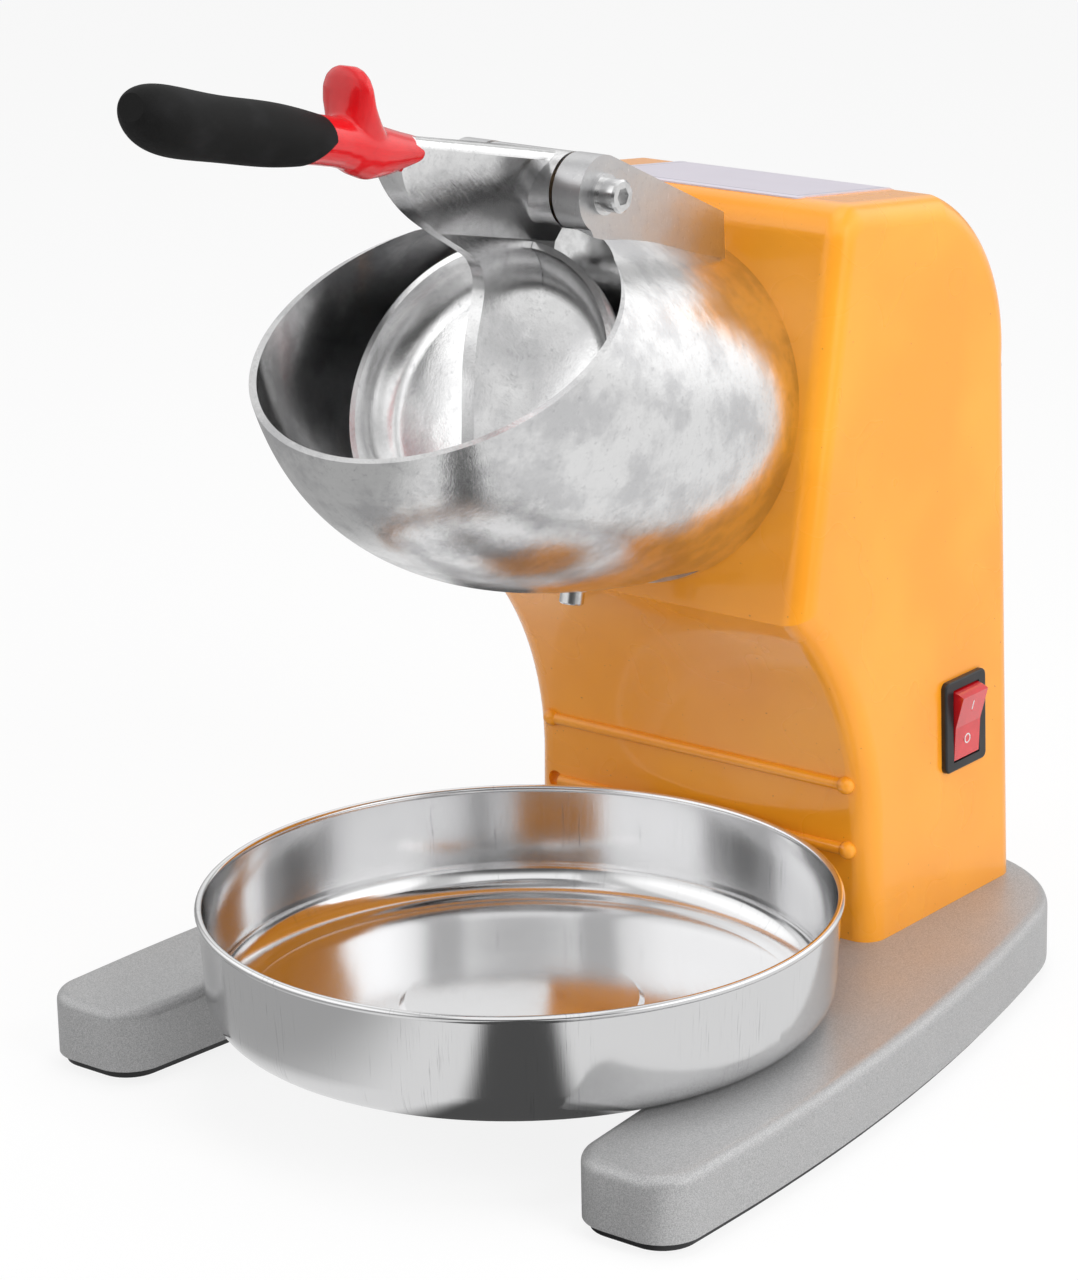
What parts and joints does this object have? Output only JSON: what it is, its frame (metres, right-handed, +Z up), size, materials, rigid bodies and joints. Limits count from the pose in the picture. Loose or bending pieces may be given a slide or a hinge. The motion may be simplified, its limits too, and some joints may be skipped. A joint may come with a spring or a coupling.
{
  "type": "ice shaver",
  "caption": "Electric ice shaver: a hinged hand lever pushes ice in an open cast hopper against a spinning blade disc over a loose round tray.",
  "frame": {"origin": "middle of the footprint box, on the ground under the rubber feet", "axes": "+Z up, -Y to the front where the lever's grip points, +X to the side with the rocker switch"},
  "size_m": [0.322, 0.458, 0.4324],
  "materials": {
    "silver_paint": "satin silver-grey paint on a cast shell",
    "black_paint": "satin black paint",
    "zinc_steel": "zinc-plated steel",
    "foot_rubber": "matt black rubber",
    "orange_paint": "glossy orange paint",
    "label_film": "pale bare label film",
    "black_plastic": "black moulded plastic",
    "brass_tabs": "bright brass",
    "red_plastic": "glossy red plastic",
    "cast_aluminium": "polished cast aluminium",
    "scraper_plastic": "white acetal",
    "stainless_screw": "stainless steel",
    "seal_rubber": "nitrile rubber",
    "frame_paint": "dark grey paint on pressed steel",
    "core_steel": "stacked electrical steel",
    "copper_wire": "enamelled copper wire",
    "bearing_steel": "ground bearing steel",
    "white_plastic": "white moulded plastic",
    "bush_bronze": "sintered bronze",
    "grip_plastic": "matt charcoal rubber",
    "stainless_sheet": "polished stainless steel sheet",
    "blade_steel": "ground stainless blade steel"
  },
  "bodies": {
    "machine": {"base_frame": "silver_paint", "base_plate": "black_paint", "base_plate_screws": "zinc_steel", "bearing_front": "bearing_steel", "bearing_rear": "bearing_steel", "capacitor_clip": "zinc_steel", "cord_gland": "black_plastic", "fitting_screws": "zinc_steel", "foot_front_left": "foot_rubber", "foot_front_right": "foot_rubber", "foot_rear_left": "foot_rubber", "foot_rear_right": "foot_rubber", "front_housing": "orange_paint", "hinge_bolt": "stainless_screw", "hinge_ears": "cast_aluminium", "hinge_nut": "stainless_screw", "hinge_washers": "stainless_screw", "hopper": "cast_aluminium", "hopper_drum": "cast_aluminium", "hopper_flange": "cast_aluminium", "hopper_screws": "zinc_steel", "housing_screws": "zinc_steel", "ice_scraper": "scraper_plastic", "ice_scraper_screw": "stainless_screw", "motor_can": "frame_paint", "motor_frame": "frame_paint", "motor_frame_screws": "zinc_steel", "motor_front_cap": "cast_aluminium", "motor_rear_cap": "cast_aluminium", "motor_screws": "zinc_steel", "motor_tie_bolts": "zinc_steel", "rating_plate": "label_film", "rear_cover": "orange_paint", "rear_cover_screws": "zinc_steel", "run_capacitor": "white_plastic", "shaft_seal": "seal_rubber", "stator_core": "core_steel", "stator_windings": "copper_wire", "switch_body": "black_plastic", "switch_terminals": "brass_tabs", "terminal_block": "white_plastic"},
    "lever": {"lever": "cast_aluminium", "bush_left": "bush_bronze", "bush_right": "bush_bronze", "pusher_disc": "cast_aluminium", "pusher_screws": "stainless_screw", "thumb_guard": "red_plastic", "grip": "grip_plastic"},
    "rotor": {"motor_shaft": "bearing_steel", "rotor_core": "core_steel", "cooling_fan": "black_plastic", "blade_disc": "stainless_sheet", "disc_screw": "stainless_screw", "blade_1": "blade_steel", "blade_2": "blade_steel", "blade_screws": "stainless_screw"},
    "rocker": {"switch_rocker": "red_plastic"},
    "tray": {"tray": "stainless_sheet"}
  },
  "joints": [
    {"name": "lever_press", "type": "hinge", "parent": "machine", "child": "lever", "pos_m": [0, -0.008, 0.362], "axis": [1, 0, 0], "range_deg": [-62, 17]},
    {"name": "rotor_spin", "type": "hinge", "parent": "machine", "child": "rotor", "pos_m": [0, 0.06683, 0.2584], "axis": [0, -0.9763, 0.2164], "continuous": true},
    {"name": "switch_toggle", "type": "hinge", "parent": "machine", "child": "rocker", "pos_m": [0.0862, 0.166, 0.11248], "axis": [0, -1, 0], "range_deg": [0, 20]},
    {"name": "tray_draw", "type": "slide", "parent": "machine", "child": "tray", "axis": [0, -1, 0], "range_m": [0, 0.28]}
  ]
}
